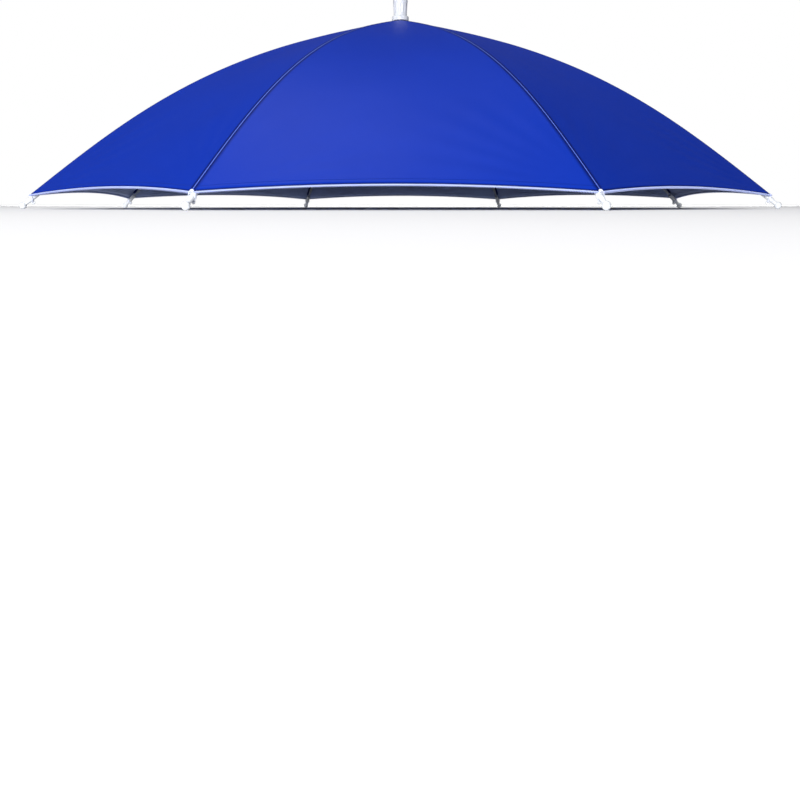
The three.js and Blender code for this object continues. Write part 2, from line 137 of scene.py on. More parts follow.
# %% [markdown]
# ## Helpers for pieces
#
# A piece grown by Geometry Nodes starts as a guide, such as the line of a rib. The tree's inputs are named
# sizes, and the result is kept as a plain mesh, because the export can't read a modifier's instances. Most
# pieces come eight times, so every tree can also turn copies of its piece about the axis.

# %% Grow a guide into a plain mesh
RIB_COUNT = 8
HALF_PANEL = math.pi / RIB_COUNT
FIRST_PANEL = -math.pi / 2
FIRST_RIB = FIRST_PANEL + HALF_PANEL
# What every tree takes to turn its copies and finish them
TURNED = {"Copies": "Int", "First": "Float", "Step": "Float", "Finish": "Material"}


def new_tree(name, inputs):
    tree = bpy.data.node_groups.new(name, "GeometryNodeTree")
    tree.interface.new_socket("Geometry", in_out="INPUT", socket_type="NodeSocketGeometry")
    for label, kind in {**inputs, **TURNED}.items():
        tree.interface.new_socket(label, in_out="INPUT", socket_type="NodeSocket" + kind)
    tree.interface.new_socket("Geometry", in_out="OUTPUT", socket_type="NodeSocketGeometry")
    return tree, tree.nodes.new("NodeGroupInput").outputs


def new_object(name, mesh):
    made = bpy.data.objects.new(name, mesh)
    scene.collection.objects.link(made)
    return made


def grow(name, guide, tree, finish, sizes, copies=RIB_COUNT, first=FIRST_RIB):
    sizes = {**sizes, "Copies": copies, "First": first, "Step": 2 * HALF_PANEL, "Finish": finish}
    holder = new_object(name + "_guide", guide)
    modifier = holder.modifiers.new("grow", "NODES")
    modifier.node_group = tree
    for socket in tree.interface.items_tree:
        if socket.in_out == "INPUT" and socket.name in sizes:
            modifier[socket.identifier] = sizes[socket.name]
    evaluated = holder.evaluated_get(bpy.context.evaluated_depsgraph_get())
    mesh = bpy.data.meshes.new_from_object(evaluated)
    holder.modifiers.remove(modifier)
    bpy.data.objects.remove(holder)
    grown = new_object(name, mesh)
    print(name, len(mesh.vertices), "points", len(mesh.polygons), "faces")
    return grown


def line_mesh(name, points, closed=False):
    """A line of points, as a mesh of edges that a tree can turn into a curve."""
    count = len(points)
    edges = [(i, (i + 1) % count) for i in range(count if closed else count - 1)]
    mesh = bpy.data.meshes.new(name)
    mesh.from_pydata([tuple(point) for point in points], edges, [])
    return mesh


def turned_copies(tree, given, piece):
    """Copies of a piece, each turned about Z by one more step, realized as mesh."""
    spokes = add(tree, "GeometryNodeMeshLine", {"Count": given["Copies"], "Offset": (0.0, 0.0, 0.0)})
    number = add(tree, "GeometryNodeInputIndex")
    azimuth = add(tree, "MULTIPLY_ADD", [number, given["Step"], given["First"]])
    turned_by = add(tree, "ShaderNodeCombineXYZ", {2: azimuth})
    copies = {"Points": spokes, "Instance": piece, "Rotation": turned_by}
    copies = add(tree, "GeometryNodeInstanceOnPoints", copies)
    return add(tree, "GeometryNodeRealizeInstances", {"Geometry": copies})


def end_tree(tree, given, geometry):
    dyed = add(tree, "GeometryNodeSetMaterial", {"Geometry": geometry, "Material": given["Finish"]})
    add(tree, "NodeGroupOutput", {"Geometry": dyed})


# %% [markdown]
# ## The line of a rib
#
# A rib is a straight steel channel, bent into a bow when the hat opens. The hub's slot holds it straight at
# one end and the cloth's pull leaves it straight at the other, so it bends most in between, where its
# stretcher pushes it up. Adding up short steps along it gives the line, the same way as in the CAD model, so
# everything here fits the frame with no nudging.

# %% Work out the rib line
RIM_RADIUS = 300 * MM
CROWN_SLOPE = math.radians(13.2)
RIM_SLOPE = math.radians(38.2)
BEND_POWER = 2
CURVE_STEPS = 400
STUD_HEIGHT = 12 * MM


def slope_at(share):
    return CROWN_SLOPE + (RIM_SLOPE - CROWN_SLOPE) * math.sin(share * math.pi / 2) ** BEND_POWER


unit_line = [(0.0, 0.0)]
for i in range(CURVE_STEPS):
    slope = slope_at((i + 0.5) / CURVE_STEPS)
    before = unit_line[-1]
    unit_line.append((before[0] + math.cos(slope) / CURVE_STEPS, before[1] + math.sin(slope) / CURVE_STEPS))
RIB_ARC = RIM_RADIUS / unit_line[-1][0]
TOP_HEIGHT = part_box("hub")[1].z - STUD_HEIGHT


def on_rib(arc, depth=0.0):
    """Radius, height and slope of the place `arc` along a rib and `depth` under the cloth's face."""
    share = min(arc / RIB_ARC, 1)
    slope = slope_at(share)
    step = min(int(share * CURVE_STEPS), CURVE_STEPS - 1)
    rest = share * CURVE_STEPS - step
    before, after = unit_line[step], unit_line[step + 1]
    beyond = max(arc - RIB_ARC, 0)
    radius = RIB_ARC * (before[0] + rest * (after[0] - before[0])) + beyond * math.cos(slope)
    fall = RIB_ARC * (before[1] + rest * (after[1] - before[1])) + beyond * math.sin(slope)
    return radius - depth * math.sin(slope), TOP_HEIGHT - fall - depth * math.cos(slope), slope


def arc_at_radius(radius, depth=0.0):
    low, high = 0.0, 2 * RIB_ARC
    for _ in range(40):
        middle = (low + high) / 2
        if on_rib(middle, depth)[0] < radius:
            low = middle
        else:
            high = middle
    return low


print("rib", round(RIB_ARC / MM, 1), "mm along the cloth, top at", round(TOP_HEIGHT / MM, 1), "mm")

# %% [markdown]
# ## The canopy's cloth
#
# Umbrella cloth is polyester taffeta: a plain weave of flat filament yarns, piece-dyed royal blue and pressed
# smooth, so it has a soft even sheen and no fuzz. Its inside is coated with silver-grey polyurethane. Seams
# pucker, because the thread is tighter than the cloth. An image could show all this, but nodes that read the
# place on the cut panel keep the weave straight along each panel, as the cutter lays it.
# The shade in each seam's grooves, the highlight on its fold and the shade along the hem are painted into the
# cloth's colour.

# %% A cloth finish that reads its place on the cut panel
WEAVE_PITCH = 1.2 * MM  # real taffeta has a thread each 0.25 mm: drawn coarser, so that it shows
WEAVE_HEIGHT = 0.02 * MM
PUCKER_PITCH = 6 * MM
PUCKER_REACH = 8 * MM
PUCKER_HEIGHT = 0.035 * MM
# How far from each seam and from the hem the painted shade and the painted seam highlight reach
SEAM_SHADE_WIDTH = 3.8 * MM
SEAM_HIGHLIGHT_WIDTH = 0.62 * MM
HEM_FOLD = 4.5 * MM
HEM_FOLD_STEP = 0.2 * MM
HEM_FOLD_EASE = 0.6 * MM
HEM_SHADE_WIDTH = 2.4 * MM
CLOUD_SCALE = 11.0  # patches of dye about 90 mm wide
WANDER_SCALE = 60.0  # puckers shift over about 17 mm
WANDER_TURNS = 7.0
CLOTH_SPECULAR = 0.028  # pressed filament cloth shines far less than a plastic film
CLOTH_SHEEN_ROUGHNESS = 0.4


def cloth_material(name, colour, second, seam_shade_colour, seam_highlight_colour, roughness, sheen):
    material, tree = new_material(name)
    place = add(tree, "ShaderNodeAttribute", attribute_name="cut_place").outputs["Vector"]
    from_edge = add(tree, "ShaderNodeAttribute", attribute_name="from_edge").outputs["Fac"]
    cloth = add(tree, "ShaderNodeSeparateXYZ", [place])
    from_seam = cloth.outputs["Z"]
    inside_fold = add(tree, "SUBTRACT", [from_edge, HEM_FOLD])
    # Each painted shade or highlight and each relief that a seam or a hem brings fades away from it, over its
    # own reach
    fading = []
    for value, reach, strength in (
        (from_seam, SEAM_SHADE_WIDTH, 1.0),
        (from_seam, SEAM_HIGHLIGHT_WIDTH, 1.0),
        (from_edge, HEM_SHADE_WIDTH, 1.0),
        (from_seam, PUCKER_REACH, PUCKER_HEIGHT),
        (inside_fold, HEM_FOLD_EASE, HEM_FOLD_STEP),
    ):
        ends = {"Value": value, "From Max": reach, "To Min": strength, "To Max": 0.0}
        fading.append(add(tree, "ShaderNodeMapRange", ends, interpolation_type="SMOOTHSTEP"))
    groove, painted_seam_highlight, painted_hem_shade, gathered, fold = fading
    # Painted light: painted shade over each seam's grooves, a painted highlight on the seam's fold between
    # them, and painted shade along the hem under the edging
    cloud = add(tree, "ShaderNodeTexNoise", {"Vector": place, "Scale": CLOUD_SCALE, "Detail": 3.0})
    dye_and_painted_light = linear(colour)
    for share, over in (cloud, second), (groove, seam_shade_colour), (painted_seam_highlight, seam_highlight_colour), (painted_hem_shade, seam_shade_colour):
        mixed = {0: share, 6: dye_and_painted_light, 7: linear(over)}
        dye_and_painted_light = add(tree, "ShaderNodeMix", mixed, data_type="RGBA").outputs[2]
    # The weave, the puckers that fade away from each seam, and the step of the folded hem
    waves = []
    for direction in ("X", "Y"):
        turns = add(tree, "MULTIPLY", [cloth.outputs[direction], 2 * math.pi / WEAVE_PITCH])
        waves.append(add(tree, "SINE", [turns]))
    weave = add(tree, "MULTIPLY", [waves[0], waves[1]])
    weave = add(tree, "MULTIPLY", [weave, WEAVE_HEIGHT])
    wander = add(tree, "ShaderNodeTexNoise", {"Vector": place, "Scale": WANDER_SCALE, "Detail": 1.0})
    along = add(tree, "MULTIPLY", [cloth.outputs["Y"], 2 * math.pi / PUCKER_PITCH])
    along = add(tree, "MULTIPLY_ADD", [wander, WANDER_TURNS, along])
    pucker = add(tree, "SINE", [along])
    height = add(tree, "MULTIPLY_ADD", [pucker, gathered, weave])
    height = add(tree, "ADD", [height, fold])
    bump = add(tree, "ShaderNodeBump", {"Height": height, "Strength": 1.0, "Distance": 1.0})
    look = {
        "Base Color": dye_and_painted_light,
        "Roughness": roughness,
        "Specular IOR Level": CLOTH_SPECULAR,
        "Sheen Weight": sheen,
        "Sheen Roughness": CLOTH_SHEEN_ROUGHNESS,
        "Normal": bump,
    }
    shader = add(tree, "ShaderNodeBsdfPrincipled", look)
    add(tree, "ShaderNodeOutputMaterial", {"Surface": shader})
    return material


# %% The blue outside and the coated inside
# A pressed filament weave: a broad soft highlight, no sparkle
# The third tone is painted shade for the seams and the hem, the fourth a painted highlight for each seam's
# fold
taffeta_blues_with_painted_seam_light = ("#0C2F9F", "#0A2B96", "#030A3C", "#6A88FF")
taffeta = cloth_material("polyester_taffeta_woven_dyed", *taffeta_blues_with_painted_seam_light, 0.45, 0.0)
# A brushed-on coating fills the weave: paler and a little smoother. Its blue tinge and paleness are partly
# the blue cloth under it and partly painted light that comes through the cloth, and its third tone is painted
# seam and hem shade
coating_greys_with_painted_light = ("#A8B8E6", "#A0B0E0", "#7E8CBE", "#A0B0E0")
coating = cloth_material("polyurethane_coating_silver_grey", *coating_greys_with_painted_light, 0.45, 0.02)

# %% [markdown]
# ## The canopy
#
# The real canopy is thin polyester cut as eight long triangles and sewn into one sheet. Each panel is flat
# across, hollows a little between its ribs, and its hem is cut back in a shallow arch. A grid could be bent
# by hand or a cloth simulation could stretch it, but the shape follows a rule, so Geometry Nodes place every
# point: along the rib line for its row, across the panel for its column. Columns crowd toward the seams,
# where the cloth is drawn into a groove by the stitching. Eight turned copies are merged along the seams.

# %% Grow one sheet of eight panels
CROWN_HOLE = 6 * MM
PANEL_HOLLOW = 1.5 * MM
HEM_RISE = 7 * MM
CLOTH_WALL = 0.5 * MM
SEWN_WITHIN = 0.02 * MM
CROWN_ARC = arc_at_radius(CROWN_HOLE)
CANOPY_COLUMNS = 37
CANOPY_ROWS = 97
GROOVE_DEPTH = 0.35 * MM
GROOVE_WIDTH = 1.3 * MM
CORNER_FOLD_HEIGHT = 0.5 * MM
CORNER_FOLD_REACH = 120 * MM
SLACK = 1.7 * MM

canopy_sizes = {
    "Columns": CANOPY_COLUMNS,
    "Rows": CANOPY_ROWS,
    "Half panel": HALF_PANEL,
    "Crown arc": CROWN_ARC,
    "Rib arc": RIB_ARC,
    "Hollow": PANEL_HOLLOW,
    "Hem rise": HEM_RISE,
    "Groove depth": GROOVE_DEPTH,
    "Groove width": GROOVE_WIDTH,
    "Corner fold height": CORNER_FOLD_HEIGHT,
    "Corner fold reach": CORNER_FOLD_REACH,
    "Slack": SLACK,
    "Slack seed": 3.0,
}
kinds = {name: "Int" if isinstance(size, int) else "Float" for name, size in canopy_sizes.items()}
tree, given = new_tree("canopy_from_rib_line", kinds)
rib_line = add(tree, "GeometryNodeMeshToCurve", {"Mesh": given["Geometry"]})
counts = {"Size X": 2.0, "Size Y": 1.0, "Vertices X": given["Columns"], "Vertices Y": given["Rows"]}
grid = add(tree, "GeometryNodeMeshGrid", counts)
spot = add(tree, "ShaderNodeSeparateXYZ", [add(tree, "GeometryNodeInputPosition")])
quarter = add(tree, "MULTIPLY", [spot.outputs["X"], math.pi / 2])
across = add(tree, "SINE", [quarter])
down = add(tree, "ADD", [spot.outputs["Y"], 0.5])
squared = add(tree, "MULTIPLY", [across, across])
inside = add(tree, "SUBTRACT", [1.0, squared])

length = add(tree, "SUBTRACT", [given["Rib arc"], given["Crown arc"]])
row_arc = add(tree, "MULTIPLY_ADD", [down, length, given["Crown arc"]])
arch = add(tree, "MULTIPLY", [inside, given["Hem rise"]])
cut = add(tree, "MULTIPLY", [arch, down])
arc = add(tree, "SUBTRACT", [row_arc, cut])
sample = add(tree, "GeometryNodeSampleCurve", {"Curves": rib_line, "Length": arc}, mode="LENGTH")
on_line = add(tree, "ShaderNodeSeparateXYZ", [sample.outputs["Position"]])
sideways = [sample.outputs["Tangent"], (0.0, 1.0, 0.0)]
outward = add(tree, "ShaderNodeVectorMath", sideways, operation="CROSS_PRODUCT")

# Half the panel's width at this row, and how far this point lies from the nearer seam
sine = add(tree, "SINE", [given["Half panel"]])
cosine = add(tree, "COSINE", [given["Half panel"]])
half_width = add(tree, "MULTIPLY", [on_line.outputs["X"], sine])
off = add(tree, "MULTIPLY", [half_width, across])
plain_off = add(tree, "ABSOLUTE", [off])
from_seam = add(tree, "SUBTRACT", [half_width, plain_off])
from_hem = add(tree, "SUBTRACT", [given["Rib arc"], row_arc])

# The hollow between the ribs
turn = add(tree, "DIVIDE", [arc, given["Rib arc"]])
half_turn = add(tree, "MULTIPLY", [turn, math.pi])
swell = add(tree, "SINE", [half_turn])
hollow = add(tree, "MULTIPLY", [inside, given["Hollow"]])
hollow = add(tree, "MULTIPLY", [hollow, swell])

# The groove that the stitching draws into each seam
near = add(tree, "DIVIDE", [from_seam, given["Groove width"]])
near = add(tree, "SUBTRACT", [1.0, near], use_clamp=True)
groove = add(tree, "MULTIPLY", [near, given["Groove depth"]])

# %% Add the tension folds and the slack
# Folds fan out from each corner, where the thread pulls the cloth to its tip
FOLDS_IN_A_FAN = 22.0
FOLDS_FADE_IN = 25 * MM
HEM_KEPT_PLAIN = 14 * MM
SLACK_SCALE = 14.0  # waves about 70 mm long
fan = add(tree, "ARCTAN2", [from_seam, from_hem])
fan = add(tree, "MULTIPLY", [fan, FOLDS_IN_A_FAN])
fan = add(tree, "SINE", [fan])
from_corner = add(tree, "ShaderNodeCombineXYZ", [from_seam, from_hem])
from_corner = add(tree, "ShaderNodeVectorMath", [from_corner], operation="LENGTH").outputs["Value"]
fade = add(tree, "DIVIDE", [from_corner, given["Corner fold reach"]])
fade = add(tree, "SUBTRACT", [1.0, fade], use_clamp=True)
fade_in = add(tree, "DIVIDE", [from_corner, FOLDS_FADE_IN], use_clamp=True)
by_hem = add(tree, "DIVIDE", [from_hem, HEM_KEPT_PLAIN], use_clamp=True)
by_seam = add(tree, "DIVIDE", [from_seam, FOLDS_FADE_IN], use_clamp=True)
for factor in (fade, fade_in, by_hem, by_seam, given["Corner fold height"]):
    fan = add(tree, "MULTIPLY", [fan, factor])

# Cloth is never stretched quite evenly
drift = add(tree, "ShaderNodeCombineXYZ", [off, arc])
drift = {"Vector": drift, "W": given["Slack seed"], "Scale": SLACK_SCALE, "Detail": 1.0}
drift = add(tree, "ShaderNodeTexNoise", drift, noise_dimensions="4D")
drift = add(tree, "SUBTRACT", [drift, 0.5])
for factor in (given["Slack"], inside, by_hem):
    drift = add(tree, "MULTIPLY", [drift, factor])

# %% Move the points, then turn and sew the panels
# Every point goes to its place on the flat panel, then inward by all of these together
inward = hollow
for push in (groove, fan, drift):
    inward = add(tree, "ADD", [inward, push])
plane = add(tree, "MULTIPLY", [on_line.outputs["X"], cosine])
flat = add(tree, "ShaderNodeCombineXYZ", [plane, off, on_line.outputs["Z"]])
back = add(tree, "MULTIPLY", [inward, -1.0])
step_in = add(tree, "ShaderNodeVectorMath", {0: outward, "Scale": back}, operation="SCALE")
placed = add(tree, "ShaderNodeVectorMath", [flat, step_in], operation="ADD")

# The cloth's finish needs places read on the flat grid, so they are stored before the points move
cut_place = add(tree, "ShaderNodeCombineXYZ", [off, arc, from_seam])
edge_arc = add(tree, "SUBTRACT", [given["Rib arc"], arch])
from_edge = add(tree, "SUBTRACT", [edge_arc, arc])
stored = grid
for name, value, kind in ("cut_place", cut_place, "FLOAT_VECTOR"), ("from_edge", from_edge, "FLOAT"):
    stored = {"Geometry": stored, "Name": name, "Value": value}
    stored = add(tree, "GeometryNodeStoreNamedAttribute", stored, data_type=kind, domain="CORNER")
panel = add(tree, "GeometryNodeSetPosition", {"Geometry": stored, "Position": placed})

# Eight panels around the axis, merged into one sheet
real = turned_copies(tree, given, panel)
sewn = add(tree, "GeometryNodeMergeByDistance", {"Geometry": real, "Distance": SEWN_WITHIN})
outside_out = add(tree, "GeometryNodeFlipFaces", {"Mesh": sewn})
smooth = add(tree, "GeometryNodeSetShadeSmooth", {"Geometry": outside_out})
end_tree(tree, given, smooth)
print("canopy tree", len(tree.nodes), "nodes")

# %% Keep the canopy as a plain mesh with a wall
STEPS_BEYOND = 13  # the line goes on a little past the rib's end

rib_points = []
for i in range(CURVE_STEPS + STEPS_BEYOND):
    radius, height = on_rib(i * RIB_ARC / CURVE_STEPS)[:2]
    rib_points.append((radius, 0, height))

rib_guide = line_mesh("rib_line", rib_points)
canopy = grow("canopy_cloth", rib_guide, tree, taffeta, canopy_sizes, first=FIRST_PANEL)
canopy.data.materials.append(coating)


def finish_mesh(piece):
    """Applies a piece's modifiers, so that it's a plain mesh."""
    evaluated = piece.evaluated_get(bpy.context.evaluated_depsgraph_get())
    mesh = bpy.data.meshes.new_from_object(evaluated)
    piece.modifiers.clear()
    piece.data = mesh


wall = canopy.modifiers.new("wall", "SOLIDIFY")
wall.thickness = CLOTH_WALL
wall.offset = -1
wall.use_even_offset = True
wall.material_offset = 1
finish_mesh(canopy)
print("canopy", len(canopy.data.polygons), "faces, normal at the first", canopy.data.polygons[0].normal)

# %% [markdown]
# ## Copies around the axis
#
# Most moulded and sewn pieces come eight times, once for each rib. They are drawn once, along +X, and this
# tree does nothing but turn the copies about the axis.

# %% A tree that turns copies about the axis
spoke_tree, given = new_tree("copies_around_the_axis", {})
end_tree(spoke_tree, given, turned_copies(spoke_tree, given, given["Geometry"]))


def around(name, mesh, finish, copies=RIB_COUNT):
    return grow(name, mesh, spoke_tree, finish, {}, copies)


def all_eight(stem):
    """The names of the CAD nodes with that stem, one for each spoke."""
    return [f"{stem}_{i + 1}" for i in range(RIB_COUNT)]


# %% [markdown]
# ## Tubes and turned forms
#
# Thread is a thin round tube along a path. Moulded tips and caps are turned: a profile swept about an axis.
# Both are made point by point in code, because each needs its own ends closed. Where a smooth face meets
# another at a sharp angle, the edge between them is creased.

# %% Make tubes and turned forms
def ring_faces(rows, sides, closed):
    faces = []
    for row in range(rows if closed else rows - 1):
        for side in range(sides):
            low, high = row * sides, (row + 1) % rows * sides
            faces.append((low + side, low + (side + 1) % sides, high + (side + 1) % sides, high + side))
    if not closed:
        faces.append(tuple(range(sides)))
        faces.append(tuple(range((rows - 1) * sides, rows * sides)))
    return faces


def tube(path, radius, sides=6, closed=False):
    """Points and faces of a round tube along a path of points."""
    path = [Vector(point) for point in path]
    count = len(path)
    points = []
    across = None
    for i, point in enumerate(path):
        before = path[i - 1] if closed or i else point
        after = path[(i + 1) % count] if closed or i + 1 < count else point
        ahead = (after - before).normalized()
        if across is None:
            across = ahead.orthogonal().normalized()
        across = (across - across.dot(ahead) * ahead).normalized()
        over = ahead.cross(across)
        for side in range(sides):
            turn = 2 * math.pi * side / sides
            points.append(point + radius * (math.cos(turn) * across + math.sin(turn) * over))
    return points, ring_faces(count, sides, closed)


def turned(profile, sides, shape=lambda radius, height, turn: radius):
    """Points and faces of a profile of (radius, height) turned about Z. `shape` may change a radius."""
    points = []
    for radius, height in profile:
        for side in range(sides):
            turn = 2 * math.pi * side / sides
            r = shape(radius, height, turn)
            points.append((r * math.cos(turn), r * math.sin(turn), height))
    return points, ring_faces(len(profile), sides, False)


def joined(name, parts):
    """One smooth mesh of parts, each given as its points and faces."""
    points, faces = [], []
    for part_points, part_faces in parts:
        start = len(points)
        points += [tuple(point) for point in part_points]
        faces += [tuple(start + i for i in face) for face in part_faces]
    mesh = bpy.data.meshes.new(name)
    mesh.from_pydata(points, [], faces)
    form = bmesh.new()
    form.from_mesh(mesh)
    bmesh.ops.remove_doubles(form, verts=form.verts, dist=0.001 * MM)
    bmesh.ops.recalc_face_normals(form, faces=form.faces)
    form.to_mesh(mesh)
    form.free()
    mesh.polygons.foreach_set("use_smooth", [True] * len(mesh.polygons))
    return mesh


def crease(mesh, degrees=35):
    mesh.set_sharp_from_angle(angle=math.radians(degrees))


# %% [markdown]
# ## White moulded plastic
#
# The tips, the ferrule and the fittings are ABS, injection-moulded in white: glossy, with the faint waviness
# that a moulded skin has, and a slightly milky depth.

# %% Mould the plastic
SKIN_SCALE = 900.0  # waves of the moulded skin, about 1 mm long
FLOW_SCALE = 90.0  # streaks of the melt, about 11 mm long
ABS_IOR = 1.53

white_plastic, tree = new_material("abs_plastic_injection_moulded")
place = add(tree, "ShaderNodeTexCoord").outputs["Object"]
skin = add(tree, "ShaderNodeTexNoise", {"Vector": place, "Scale": SKIN_SCALE, "Detail": 2.0})
flow = add(tree, "ShaderNodeTexNoise", {"Vector": place, "Scale": FLOW_SCALE, "Detail": 3.0})
ends = {"Value": flow, "From Min": 0.3, "From Max": 0.7, "To Min": 0.2, "To Max": 0.32}
rub = add(tree, "ShaderNodeMapRange", ends)
bump = {"Height": skin, "Strength": 0.25, "Distance": 0.05 * MM}
end_material(white_plastic, flow, ("#DCDFE4", "#CFD3DA"), bump, {"Roughness": rub, "IOR": ABS_IOR})

# %% [markdown]
# ## Rib tips
#
# Each rib ends in a moulded tip: a neck pushed over the rib, an eye for the thread that ties the cloth's
# corner, and a ball that keeps the end blunt. The neck and ball are turned as one.

# %% Turn the neck and ball, and add the eye
RIB_AXIS_DEPTH = 3.1 * MM
NECK_INSIDE = 8 * MM
NECK_RADIUS = 1.8 * MM
BALL_RADIUS = 2.6 * MM
BALL_REACH = 8.5 * MM
TIP_BORE_DEPTH = 6 * MM
TIP_BORE_RADIUS = 1.12 * MM
EYE_RADIUS = 1.6 * MM
EYE_HOLE_RADIUS = 0.6 * MM
EYE_REACH = 1.5 * MM
TIP_SIDES = 28
BALL_STEPS = 14
EYE_STEPS = 16
TIP_START_ARC = RIB_ARC - NECK_INSIDE


def along_rib(points, arc, depth):
    """Points drawn along +X from the origin, laid along a rib at that arc and depth."""
    radius, height, slope = on_rib(arc, depth)
    place = Matrix.Translation((radius, 0, height)) @ Matrix.Rotation(slope, 4, "Y")
    return [place @ Vector(point) for point in points]


def lay_on_x(points):
    return [(z, y, -x) for x, y, z in points]


ball_centre = NECK_INSIDE + BALL_REACH
waist = 1.45 * MM
tip_profile = [
    (0, TIP_BORE_DEPTH),
    (TIP_BORE_RADIUS, TIP_BORE_DEPTH),
    (TIP_BORE_RADIUS, 0.25 * MM),
    (TIP_BORE_RADIUS + 0.2 * MM, 0),
    (NECK_RADIUS - 0.3 * MM, 0),
    (NECK_RADIUS, 0.3 * MM),
    (NECK_RADIUS, NECK_INSIDE + 2.2 * MM),
    (NECK_RADIUS - 0.1 * MM, NECK_INSIDE + 3.2 * MM),
    (waist, NECK_INSIDE + 4.2 * MM),
    (waist, NECK_INSIDE + 5.0 * MM),
]
shoulder = math.asin(waist / BALL_RADIUS)
for step in range(BALL_STEPS + 1):
    turn = shoulder + (math.pi - shoulder) * step / BALL_STEPS
    tip_profile.append((BALL_RADIUS * math.sin(turn), ball_centre - BALL_RADIUS * math.cos(turn)))
tip_body, tip_faces = turned(tip_profile, TIP_SIDES)

eye_tube = (EYE_RADIUS - EYE_HOLE_RADIUS) / 2
eye_ring = EYE_HOLE_RADIUS + eye_tube
eye_path = []
for step in range(EYE_STEPS):
    turn = 2 * math.pi * step / EYE_STEPS
    across_eye = NECK_INSIDE + EYE_REACH + eye_ring * math.cos(turn)
    eye_path.append((across_eye, 0, -NECK_RADIUS - EYE_RADIUS / 2 + eye_ring * math.sin(turn)))
eye_points, eye_faces = tube(eye_path, eye_tube, 10, closed=True)
tip_parts = [
    (along_rib(lay_on_x(tip_body), TIP_START_ARC, RIB_AXIS_DEPTH), tip_faces),
    (along_rib(eye_points, TIP_START_ARC, RIB_AXIS_DEPTH), eye_faces),
]
tip_mesh = joined("rib_tip", tip_parts)
crease(tip_mesh)
tips = around("ball_tips", tip_mesh, white_plastic)
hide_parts(*all_eight("rib_tip"))

# %% [markdown]
# ## Thread
#
# The hem's edging and the ties at the corners are spun polyester thread, white and slightly hairy: matt, with
# fine twisted shading. The edging's thread is drawn bluer and darker than the tightly wound ties: painted
# shade, and painted blue light reflected from the cloth that shows between its open loops.

# %% Spin the thread
TWIST_SCALE = 1500.0  # a turn of the yarn each 0.7 mm


def thread_material(name, *tones):
    material, tree = new_material(name)
    place = add(tree, "ShaderNodeTexCoord").outputs["Object"]
    twist = add(tree, "ShaderNodeTexNoise", {"Vector": place, "Scale": TWIST_SCALE, "Detail": 2.0})
    bump = {"Height": twist, "Strength": 0.6, "Distance": 0.1 * MM}
    look = {"Roughness": 0.75, "Sheen Weight": 0.3, "Sheen Roughness": 0.5}
    return end_material(material, twist, tones, bump, look)


white_thread = thread_material("polyester_thread_spun", "#E8ECF8", "#CFD5E8")
# The edging's bluer, darker tones are painted shade and painted blue light reflected from the cloth
edging_thread_with_painted_light = thread_material("polyester_thread_overlocked_painted_light", "#B4C0F0", "#A2AFE3")

# %% [markdown]
# ## The hem's edging
#
# The hem is rolled once and whipped all along with white thread by an overlock machine. Close to, it is a row
# of slanted loops round the cloth's edge, over a soft core. Geometry Nodes resample the line of each hem at
# the stitch length and set one loop on every point, turned to face along the hem and out from the cloth.

# %% Trace the hems
HEM_POINTS = 61
HEM_SPAN = 0.982  # the edging stops just short of each tip
BINDING_PAST = 0.45 * MM  # from the cloth's edge to the core's middle
CLOTH_MIDDLE = CLOTH_WALL / 2


def on_panel(arc, across, depth):
    """A point of a panel with its middle along +X, and the way out from the cloth there."""
    radius, height, slope = on_rib(arc)
    out = Vector((math.sin(slope), 0, math.cos(slope)))
    dip = PANEL_HOLLOW * (1 - across * across) * math.sin(math.pi * arc / RIB_ARC)
    flat = Vector((radius * math.cos(HALF_PANEL), across * radius * math.sin(HALF_PANEL), height))
    return flat - (dip + depth) * out, out


hem_line = []
hem_out = []
for i in range(HEM_POINTS):
    across = HEM_SPAN * (2 * i / (HEM_POINTS - 1) - 1)
    point, out = on_panel(RIB_ARC - HEM_RISE * (1 - across * across) + BINDING_PAST, across, CLOTH_MIDDLE)
    hem_line.append(point)
    hem_out.append(out)
hem_guide = line_mesh("hem_line", hem_line)
attribute = hem_guide.attributes.new("out", "FLOAT_VECTOR", "POINT")
attribute.data.foreach_set("vector", [c for out in hem_out for c in out])
hem_length = sum((b - a).length for a, b in zip(hem_line, hem_line[1:]))
print("one hem is", round(hem_length / MM, 1), "mm long")

# %% Stitch the hem
STITCH_PITCH = 1.5 * MM
THREAD_RADIUS = 0.15 * MM
CORE_RADIUS = 0.42 * MM
STITCH_REACH = 0.75 * MM  # from the core up to where a loop enters the cloth
STITCH_LEAN = 0.55  # how far a loop leans along the hem, as a share of the pitch
STITCH_ENTRY = 0.35  # and how much further on it enters the cloth
TUCKED_IN = 0.3 * MM
LOOP_STEPS = 10

loop_radius = CORE_RADIUS + THREAD_RADIUS
loop_path = []
for step in range(LOOP_STEPS + 1):
    turn = math.pi * (step / LOOP_STEPS - 0.5)
    side = math.sin(turn)
    out = math.cos(turn) * loop_radius - (0.0 if abs(side) < 0.99 else TUCKED_IN)
    loop_path.append((STITCH_LEAN * STITCH_PITCH * step / LOOP_STEPS, out, -side * loop_radius))
entry = STITCH_ENTRY * STITCH_PITCH
beside = CLOTH_WALL / 2 + 0.6 * THREAD_RADIUS
loop_path.insert(0, (loop_path[0][0] - entry, -STITCH_REACH, beside))
loop_path.append((loop_path[-1][0] + entry, -STITCH_REACH, -beside))
stitch = new_object("stitch", joined("stitch", [tube(loop_path, THREAD_RADIUS, 5)]))

